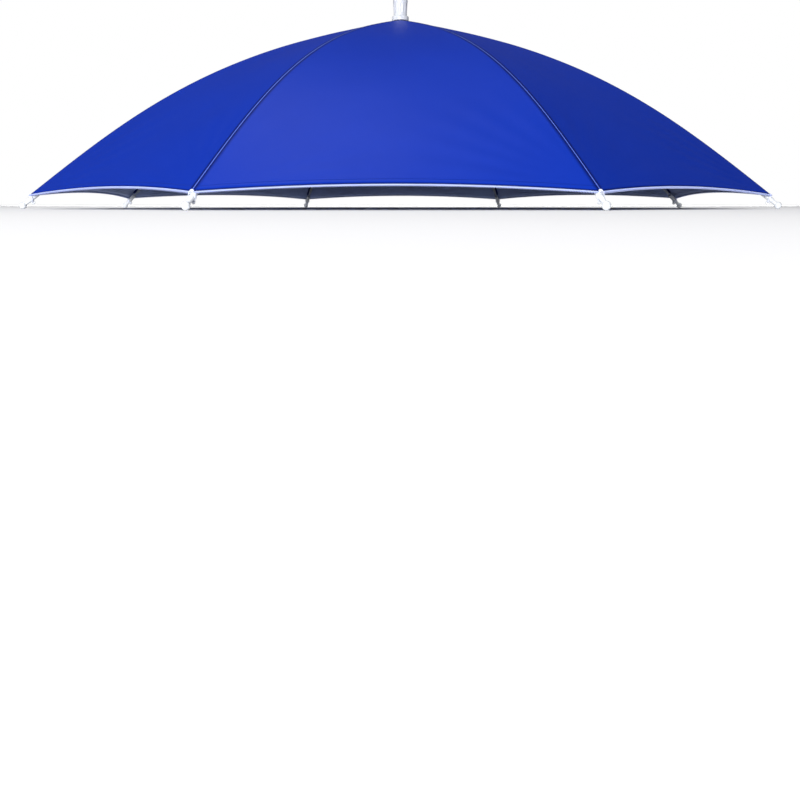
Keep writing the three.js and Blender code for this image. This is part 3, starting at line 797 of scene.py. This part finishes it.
hem_kinds = {"Stitch length": "Float", "Core radius": "Float", "Stitch": "Object"}
tree, given = new_tree("whipped_hem", hem_kinds)
hem_curve = add(tree, "GeometryNodeMeshToCurve", {"Mesh": given["Geometry"]})
circle = {"Resolution": 8, "Radius": given["Core radius"]}
circle = add(tree, "GeometryNodeCurvePrimitiveCircle", circle)
core = {"Curve": hem_curve, "Profile Curve": circle, "Fill Caps": True}
core = add(tree, "GeometryNodeCurveToMesh", core)
core = add(tree, "GeometryNodeSetShadeSmooth", {"Geometry": core})
spaced = {"Curve": hem_curve, "Length": given["Stitch length"]}
places = add(tree, "GeometryNodeResampleCurve", spaced, mode="LENGTH")
ahead = add(tree, "GeometryNodeInputTangent")
facing = add(tree, "GeometryNodeInputNamedAttribute", {"Name": "out"}, data_type="FLOAT_VECTOR")
aimed = add(tree, "FunctionNodeAlignRotationToVector", {"Vector": ahead}, axis="X")
aimed = {"Rotation": aimed, "Vector": facing}
aimed = add(tree, "FunctionNodeAlignRotationToVector", aimed, axis="Z", pivot_axis="X")
one_stitch = add(tree, "GeometryNodeObjectInfo", {"Object": given["Stitch"]}).outputs["Geometry"]
loops = {"Points": places, "Instance": one_stitch, "Rotation": aimed}
loops = add(tree, "GeometryNodeInstanceOnPoints", loops)
hem_whole = add(tree, "GeometryNodeJoinGeometry")
tree.links.new(core.outputs[0], hem_whole.inputs[0])
tree.links.new(loops.outputs[0], hem_whole.inputs[0])
end_tree(tree, given, turned_copies(tree, given, hem_whole))
hem_sizes = {"Stitch length": STITCH_PITCH, "Core radius": CORE_RADIUS, "Stitch": stitch}
hem = grow("whipped_hem", hem_guide, tree, edging_thread_with_painted_light, hem_sizes, first=FIRST_PANEL)
bpy.data.objects.remove(stitch)
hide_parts(*all_eight("hem_binding"))

# %% [markdown]
# ## The ties at the corners
#
# A few turns of the same thread hold each corner of the cloth to its tip: over the corner, down both sides
# of the neck and through the eye. They are closed loops round the neck, spread a little like a real winding.

# %% Wind the ties
TIE_TURNS = 7
TIE_SPREAD = 0.4 * MM
TIE_THREAD = 0.22 * MM
TIE_MIDDLE = 0.6 * MM  # in from the cloth's corner
OVER_THE_CLOTH = 3.2 * MM
PAST_THE_CORNER = 2.5 * MM
THROUGH_THE_EYE = 2.65 * MM
BESIDE_THE_NECK = 0.45 * MM
DRAWN_TOGETHER = 0.55  # how narrow a loop is where it goes through the eye
TIE_STEPS = 24
tie_parts = []
for turn_number in range(TIE_TURNS):
    spread = (turn_number - (TIE_TURNS - 1) / 2) * TIE_SPREAD
    top = NECK_INSIDE - TIE_MIDDLE + spread
    rise = OVER_THE_CLOTH if top < NECK_INSIDE else PAST_THE_CORNER
    low = NECK_INSIDE + EYE_REACH + 0.25 * spread
    loop = []
    for step in range(TIE_STEPS):
        turn = 2 * math.pi * step / TIE_STEPS
        level = math.cos(turn)
        height = (rise if level > 0 else THROUGH_THE_EYE) * level
        width = (NECK_RADIUS + BESIDE_THE_NECK) * math.sin(turn)
        if level < -0.5:
            width *= DRAWN_TOGETHER
        loop.append((low + (top - low) * (level + 1) / 2, width, height))
    points, faces = tube(loop, TIE_THREAD, 6, closed=True)
    tie_parts.append((along_rib(points, TIP_START_ARC, RIB_AXIS_DEPTH), faces))
ties = around("corner_ties", joined("corner_tie", tie_parts), white_thread)

# %% [markdown]
# ## Strips swept along a line
#
# Two parts of the hat are one section carried along a line: the seam strip under each seam, and the elastic
# round the head. One tree does both. It keeps the section upright, sweeps it, ruffles it sideways where it is
# loose cloth, and turns the copies about the axis.

# %% A tree that sweeps a section along a line
strip_kinds = {"Section": "Object", "Ruffle": "Float", "Ruffle scale": "Float"}
strip_tree, given = new_tree("swept_strip", strip_kinds)
tree = strip_tree
line = add(tree, "GeometryNodeMeshToCurve", {"Mesh": given["Geometry"]})
line = add(tree, "GeometryNodeSetCurveNormal", {"Curve": line}, mode="Z_UP")
drawn = add(tree, "GeometryNodeObjectInfo", {"Object": given["Section"]})
section = add(tree, "GeometryNodeMeshToCurve", {"Mesh": drawn.outputs["Geometry"]})
strip = {"Curve": line, "Profile Curve": section, "Fill Caps": True}
strip = add(tree, "GeometryNodeCurveToMesh", strip)
where = add(tree, "GeometryNodeInputPosition")
wave = add(tree, "ShaderNodeTexNoise", {"Vector": where, "Scale": given["Ruffle scale"], "Detail": 1.0})
wave = add(tree, "SUBTRACT", [wave, 0.5])
wave = add(tree, "MULTIPLY", [wave, given["Ruffle"]])
sideways = add(tree, "ShaderNodeCombineXYZ", {1: wave})
strip = add(tree, "GeometryNodeSetPosition", {"Geometry": strip, "Offset": sideways})
strip = add(tree, "GeometryNodeSetShadeSmooth", {"Geometry": strip})
end_tree(tree, given, turned_copies(tree, given, strip))


def swept(name, line, section, finish, copies, ruffle=0.0, ruffle_scale=1.0):
    outline = new_object(name + "_section", line_mesh(name + "_section", section, closed=True))
    sizes = {"Section": outline, "Ruffle": ruffle, "Ruffle scale": ruffle_scale}
    strip = grow(name, line, strip_tree, finish, sizes, copies)
    bpy.data.objects.remove(outline)
    return strip


# %% [markdown]
# ## The turned-in seams
#
# Inside, each seam shows as a dark strip: both panels' edges are folded to one side and oversewn, so the blue
# face of the cloth is out again. The strip lies along the rib, between the cloth and the steel.

# %% Fold the seam allowances
SEAM_STRIP_DEPTH = 1.25 * MM
SEAM_STRIP_WIDTH = 4.2 * MM
SEAM_STRIP_THICKNESS = 1.1 * MM
SEAM_RUFFLE = 0.5 * MM
SEAM_RUFFLE_SCALE = 120.0  # ruffles about 8 mm long
SEAM_ROWS = 110
FOLDED_HALF = [(0.85, -0.5), (1, -0.3), (1, 0.25), (0.8, 0.5)]
FOLDED_SECTION = FOLDED_HALF + [(-side, up) for side, up in reversed(FOLDED_HALF)]
seam_end_arc = TIP_START_ARC - 1.5 * MM
seam_start_arc = arc_at_radius(14 * MM)
seam_line = []
for row in range(SEAM_ROWS):
    arc_here = seam_start_arc + (seam_end_arc - seam_start_arc) * row / (SEAM_ROWS - 1)
    radius, height = on_rib(arc_here, SEAM_STRIP_DEPTH)[:2]
    seam_line.append((radius, 0, height))
section = [(SEAM_STRIP_WIDTH / 2 * side, -SEAM_STRIP_THICKNESS * up, 0) for side, up in FOLDED_SECTION]
seam_blues = ("#14257A", "#101F6C", "#0C1960", "#14257A")
folded_seam = cloth_material("polyester_taffeta_folded_seam", *seam_blues, 0.6, 0.02)
seam_guide = line_mesh("seam_line", seam_line)
ruffles = (SEAM_RUFFLE, SEAM_RUFFLE_SCALE)
seams = swept("seam_allowances", seam_guide, section, folded_seam, RIB_COUNT, *ruffles)
crease(seams.data, 50)

# %% [markdown]
# ## The ferrule and its washer
#
# On top, a moulded cap screws onto the hub's stud and clamps the cloth under a washer. The cap has shallow
# flutes for the fingers, a shoulder and a dome.

# %% Turn the ferrule and the washer
WASHER_RADIUS = 7 * MM
FERRULE_RADIUS = 6.1 * MM
FERRULE_BASE_RADIUS = 5.5 * MM
FERRULE_SHOULDER = 11.5 * MM
FERRULE_DOME = 6 * MM
STUD_RADIUS = 2.5 * MM
GAP = 0.3 * MM
FLUTES = 12
FLUTE_DEPTH = 0.32 * MM
FLUTE_START, FLUTE_END = 0.1, 0.86  # shares of the height up to the shoulder
FERRULE_LIP = 0.3 * MM
FERRULE_ROWS = 24
DOME_ROWS = 12
FERRULE_SIDES = 96
WASHER_SIDES = 64

washer_top = TOP_HEIGHT + 2.3 * MM
ferrule_base = washer_top + GAP


def fluted(radius, height, turn):
    up = (height - ferrule_base) / FERRULE_SHOULDER
    if radius < FERRULE_BASE_RADIUS - 0.5 * MM or up < FLUTE_START or up > FLUTE_END:
        return radius
    ends = min(1, (up - FLUTE_START) / 0.12, (FLUTE_END - up) / 0.1)
    return radius - FLUTE_DEPTH * ends * (0.5 - 0.5 * math.cos(FLUTES * turn)) ** 1.5


bore = STUD_RADIUS + GAP
bore_top = TOP_HEIGHT + STUD_HEIGHT + GAP
ferrule_profile = [
    (0, bore_top),
    (bore, bore_top),
    (bore, ferrule_base),
    (FERRULE_BASE_RADIUS - FERRULE_LIP, ferrule_base),
]
for step in range(FERRULE_ROWS + 1):
    up = step / FERRULE_ROWS
    radius = FERRULE_BASE_RADIUS + (FERRULE_RADIUS - FERRULE_BASE_RADIUS) * up**1.5
    height = ferrule_base + FERRULE_LIP + (FERRULE_SHOULDER - FERRULE_LIP) * up
    ferrule_profile.append((radius, height))
for step in range(1, DOME_ROWS + 1):
    turn = math.pi / 2 * step / DOME_ROWS
    height = ferrule_base + FERRULE_SHOULDER + FERRULE_DOME * math.sin(turn)
    ferrule_profile.append((FERRULE_RADIUS * math.cos(turn), height))
ferrule_mesh = joined("ferrule_cap", [turned(ferrule_profile, FERRULE_SIDES, fluted)])
crease(ferrule_mesh, 50)
ferrule = around("ferrule_cap", ferrule_mesh, white_plastic, copies=1)
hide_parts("ferrule")

under_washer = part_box("ferrule_washer")[0].z
washer_profile = [
    (bore, under_washer + 0.9 * MM),
    (WASHER_RADIUS - 0.4 * MM, under_washer + 0.1 * MM),
    (WASHER_RADIUS - 0.1 * MM, under_washer + 0.15 * MM),
    (WASHER_RADIUS, under_washer + 0.5 * MM),
    (WASHER_RADIUS, washer_top - 0.6 * MM),
    (WASHER_RADIUS - 0.2 * MM, washer_top - 0.2 * MM),
    (WASHER_RADIUS - 0.6 * MM, washer_top),
    (bore, washer_top),
]
washer_points = turned(washer_profile, WASHER_SIDES)[0]
washer_faces = ring_faces(len(washer_profile), WASHER_SIDES, True)
washer_mesh = joined("washer_ring", [(washer_points, washer_faces)])
crease(washer_mesh)
washer = around("washer_ring", washer_mesh, white_plastic, copies=1)
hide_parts("ferrule_washer")

# %% [markdown]
# ## The frame's moulded fittings
#
# The hub, runner and band hangers are moulded too. Their CAD solids have the right shape but knife-sharp
# edges, which no mould leaves. A copy of each solid is merged and gets a small rounded edge, which catches
# the light.

# %% Round the edges of copies of the CAD solids
EDGE_ROUND = 0.25 * MM
SHARP_EDGE = math.radians(30)


def softened(name, nodes):
    form = bmesh.new()
    for node in nodes:
        form.from_mesh(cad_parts[node].data)
    bmesh.ops.remove_doubles(form, verts=form.verts, dist=0.005 * MM)
    bmesh.ops.dissolve_limit(form, angle_limit=math.radians(1), verts=form.verts, edges=form.edges)
    mesh = bpy.data.meshes.new(name)
    form.to_mesh(mesh)
    form.free()
    mesh.materials.clear()
    mesh.materials.append(white_plastic)
    piece = new_object(name, mesh)
    bevel = piece.modifiers.new("edge", "BEVEL")
    bevel.width = EDGE_ROUND
    bevel.segments = 2
    bevel.limit_method = "ANGLE"
    bevel.angle_limit = SHARP_EDGE
    finish_mesh(piece)
    piece.data.polygons.foreach_set("use_smooth", [True] * len(piece.data.polygons))
    crease(piece.data, 40)
    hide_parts(*nodes)
    print(name, len(piece.data.polygons), "faces")
    return piece


hub = softened("hub_and_post", ["hub"])
runner = softened("slotted_runner", ["runner"])
hangers = softened("band_hangers", all_eight("band_hanger"))

# %% [markdown]
# ## The steel frame
#
# Ribs and stretchers are rolled from thin spring-steel strip and zinc-plated: bright, cool, with fine lines
# along their length from the rolls. The CAD channels have the right section, so they stay and get the metal.

# %% Plate the steel
ROLL_STRETCH = 0.03  # lines from the rolls are some thirty times as long as they are wide
ROLL_SCALE = 1400.0  # and about 0.7 mm apart
BLOOM_SCALE = 220.0  # crystals of zinc, about 4.5 mm across

plated_steel, tree = new_material("spring_steel_zinc_plated")
place = add(tree, "ShaderNodeTexCoord").outputs["Object"]
parts = add(tree, "ShaderNodeSeparateXYZ", [place])
# How far out a point lies, and how far to the side of the middle of its own rib
flat = add(tree, "ShaderNodeCombineXYZ", [parts.outputs["X"], parts.outputs["Y"]])
out = add(tree, "ShaderNodeVectorMath", [flat], operation="LENGTH").outputs["Value"]
turn = add(tree, "ARCTAN2", [parts.outputs["Y"], parts.outputs["X"]])
turn = add(tree, "SUBTRACT", [turn, FIRST_RIB])
turn = add(tree, "WRAP", [turn, HALF_PANEL, -HALF_PANEL])
aside = add(tree, "MULTIPLY", [turn, out])
lengthwise = add(tree, "MULTIPLY", [out, ROLL_STRETCH])
rolled = add(tree, "ShaderNodeCombineXYZ", [lengthwise, aside, parts.outputs["Z"]])
bloom = add(tree, "ShaderNodeTexNoise", {"Vector": place, "Scale": BLOOM_SCALE, "Detail": 4.0})
grain = add(tree, "ShaderNodeTexNoise", {"Vector": rolled, "Scale": ROLL_SCALE, "Detail": 2.0})
ends = {"Value": bloom, "From Min": 0.3, "From Max": 0.7, "To Min": 0.28, "To Max": 0.45}
rub = add(tree, "ShaderNodeMapRange", ends)
bump = {"Height": grain, "Strength": 0.2, "Distance": 0.05 * MM}
end_material(plated_steel, bloom, ("#D3D6DC", "#B9BDC6"), bump, {"Metallic": 1.0, "Roughness": rub})
for node in all_eight("rib") + all_eight("stretcher"):
    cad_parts[node].data.materials.clear()
    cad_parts[node].data.materials.append(plated_steel)

# %% [markdown]
# ## The headband
#
# The band is woven elastic: rubber cords lie side by side under a polyester cover, so it shows fine raised
# lines all the way round. One ribbed section is swept round a circle.

# %% Draw the band's section and its circle
BAND_RADIUS = 83.5 * MM
BAND_THICKNESS = 2 * MM
band_low, band_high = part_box("headband")[0].z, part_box("headband")[1].z
BAND_HEIGHT = band_high - band_low
CORDS = 13
CORD_HEIGHT = 0.22 * MM
BAND_SIDES = 160
POINTS_A_CORD = 6

half_cut = []
for i in range(CORDS * POINTS_A_CORD + 1):
    share = i / (CORDS * POINTS_A_CORD)
    bulge = abs(math.sin(math.pi * share * CORDS))
    edge = min(1, 6 * share, 6 * (1 - share)) ** 0.5
    half = (BAND_THICKNESS / 2 - CORD_HEIGHT * (1 - bulge)) * (0.45 + 0.55 * edge)
    half_cut.append((half, (share - 0.5) * BAND_HEIGHT))
band_section = [(out, -up, 0) for out, up in half_cut]
band_section += [(-out, -up, 0) for out, up in reversed(half_cut)]
band_line = []
for side in range(BAND_SIDES):
    turn = 2 * math.pi * side / BAND_SIDES
    band_line.append((BAND_RADIUS * math.cos(turn), BAND_RADIUS * math.sin(turn), (band_low + band_high) / 2))

# %% Weave the elastic
PICKS_AROUND = 520  # a whole number, so the weave closes where the band meets itself
PICK_HEIGHT = 0.07 * MM
PICK_LEAN = 1.3
FLECK_SCALE = 700.0  # flecks of about 1.4 mm

elastic, tree = new_material("woven_elastic_polyester_over_rubber")
place = add(tree, "ShaderNodeTexCoord").outputs["Object"]
parts = add(tree, "ShaderNodeSeparateXYZ", [place])
around_axis = add(tree, "ARCTAN2", [parts.outputs["Y"], parts.outputs["X"]])
picks = add(tree, "MULTIPLY", [around_axis, PICKS_AROUND])
rows = add(tree, "MULTIPLY", [parts.outputs["Z"], math.pi * CORDS / BAND_HEIGHT])
lean = add(tree, "SINE", [rows])
slanted = add(tree, "MULTIPLY_ADD", [lean, PICK_LEAN, picks])
wave = add(tree, "SINE", [slanted])
fleck = add(tree, "ShaderNodeTexNoise", {"Vector": place, "Scale": FLECK_SCALE, "Detail": 2.0})
raised = add(tree, "MULTIPLY", [wave, PICK_HEIGHT])
bump = {"Height": raised, "Strength": 1.0, "Distance": 1.0}
end_material(elastic, fleck, ("#F0F1F5", "#D9DCE4"), bump, {"Roughness": 0.85, "Sheen Weight": 0.25})

band_guide = line_mesh("band_line", band_line, closed=True)
band = swept("elastic_band", band_guide, band_section, elastic, 1)
crease(band.data, 60)
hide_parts("headband")

# %% [markdown]
# ## Floor, light and sky
#
# A plain pale floor and a white sky stand for the white studio. The sky is pure white to the eye and lights
# the scene less than it shows, so white plastic keeps its shading. A soft lamp low in front, a little to the
# left, makes the front panel the brightest and the right side the darkest, as in the picture. A second one
# overhead lifts the crown. A wide one behind the hat, with a grid that keeps its light off the hat, turns
# the floor there as white as the sky.

# %% Set the studio
FLOOR_RADIUS = 12
FLOOR_SIDES = 64
MOTTLE_SCALE = 3.0  # patches about 0.3 m wide

floor_points = []
for i in range(FLOOR_SIDES):
    turn = 2 * math.pi * i / FLOOR_SIDES
    floor_points.append((FLOOR_RADIUS * math.cos(turn), FLOOR_RADIUS * math.sin(turn), 0))
floor_mesh = bpy.data.meshes.new("studio_floor")
floor_mesh.from_pydata(floor_points, [], [tuple(range(FLOOR_SIDES))])
floor = new_object("studio_floor", floor_mesh)
floor_paint, tree = new_material("painted_board_matt")
place = add(tree, "ShaderNodeTexCoord").outputs["Object"]
mottle = add(tree, "ShaderNodeTexNoise", {"Vector": place, "Scale": MOTTLE_SCALE, "Detail": 2.0})
tones = {0: mottle, 6: linear("#F8F8F9"), 7: linear("#F4F4F6")}
tint = add(tree, "ShaderNodeMix", tones, data_type="RGBA").outputs[2]
shader = add(tree, "ShaderNodeBsdfPrincipled", {"Base Color": tint, "Roughness": 0.9})
add(tree, "ShaderNodeOutputMaterial", {"Surface": shader})
floor.data.materials.append(floor_paint)

sky = bpy.data.worlds.new("white_studio")
sky.use_nodes = True
sky.node_tree.nodes.clear()
SKY_SEEN = 1.0
SKY_LIGHT = 0.18
tree = sky.node_tree
lights_scene = add(tree, "ShaderNodeBackground", {"Color": linear("#FFFFFF"), "Strength": SKY_LIGHT})
shows_white = add(tree, "ShaderNodeBackground", {"Color": linear("#FFFFFF"), "Strength": SKY_SEEN})
seen = add(tree, "ShaderNodeLightPath").outputs["Is Camera Ray"]
both = add(tree, "ShaderNodeMixShader", [seen, lights_scene, shows_white])
add(tree, "ShaderNodeOutputWorld", {"Surface": both})
scene.world = sky


def soft_lamp(name, place, size, power, aim=(0, 0, 0.08), spread=math.pi):
    data = bpy.data.lights.new(name, "AREA")
    data.shape = "DISK"
    data.size = size
    data.energy = power
    data.spread = spread
    lamp = bpy.data.objects.new(name, data)
    lamp.location = place
    lamp.rotation_euler = (Vector(aim) - Vector(place)).to_track_quat("-Z", "Y").to_euler()
    scene.collection.objects.link(lamp)


soft_lamp("key", (-0.4, -1.8, 0.25), 0.5, 38)
soft_lamp("overhead", (-0.3, 0.2, 2.2), 0.6, 27)
soft_lamp("behind", (0, 3.7, 2.4), 4.0, 150, aim=(0, 3.8, 0), spread=math.radians(68))

# %% [markdown]
# ## Hand the pieces to the frame
#
# The cloth of the canopy and the elastic are sheets, so their cut sizes are declared: the canopy before it
# was tied to its ribs, and the band's relaxed length. Everything rides on the one body, because folding the
# hat would change the cloth itself.

# %% Declare, measure and finish
for piece in (canopy, tips, hem, ties, seams, ferrule, washer, hub, runner, hangers, band):
    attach(piece, "root")
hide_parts(*all_eight("canopy_panel"))

AREA_ROWS = 200
for row in range(AREA_ROWS):
    arc_here = CROWN_ARC + (RIB_ARC - CROWN_ARC) * (row + 0.5) / AREA_ROWS
    width = 2 * on_rib(arc_here)[0] * math.sin(HALF_PANEL)
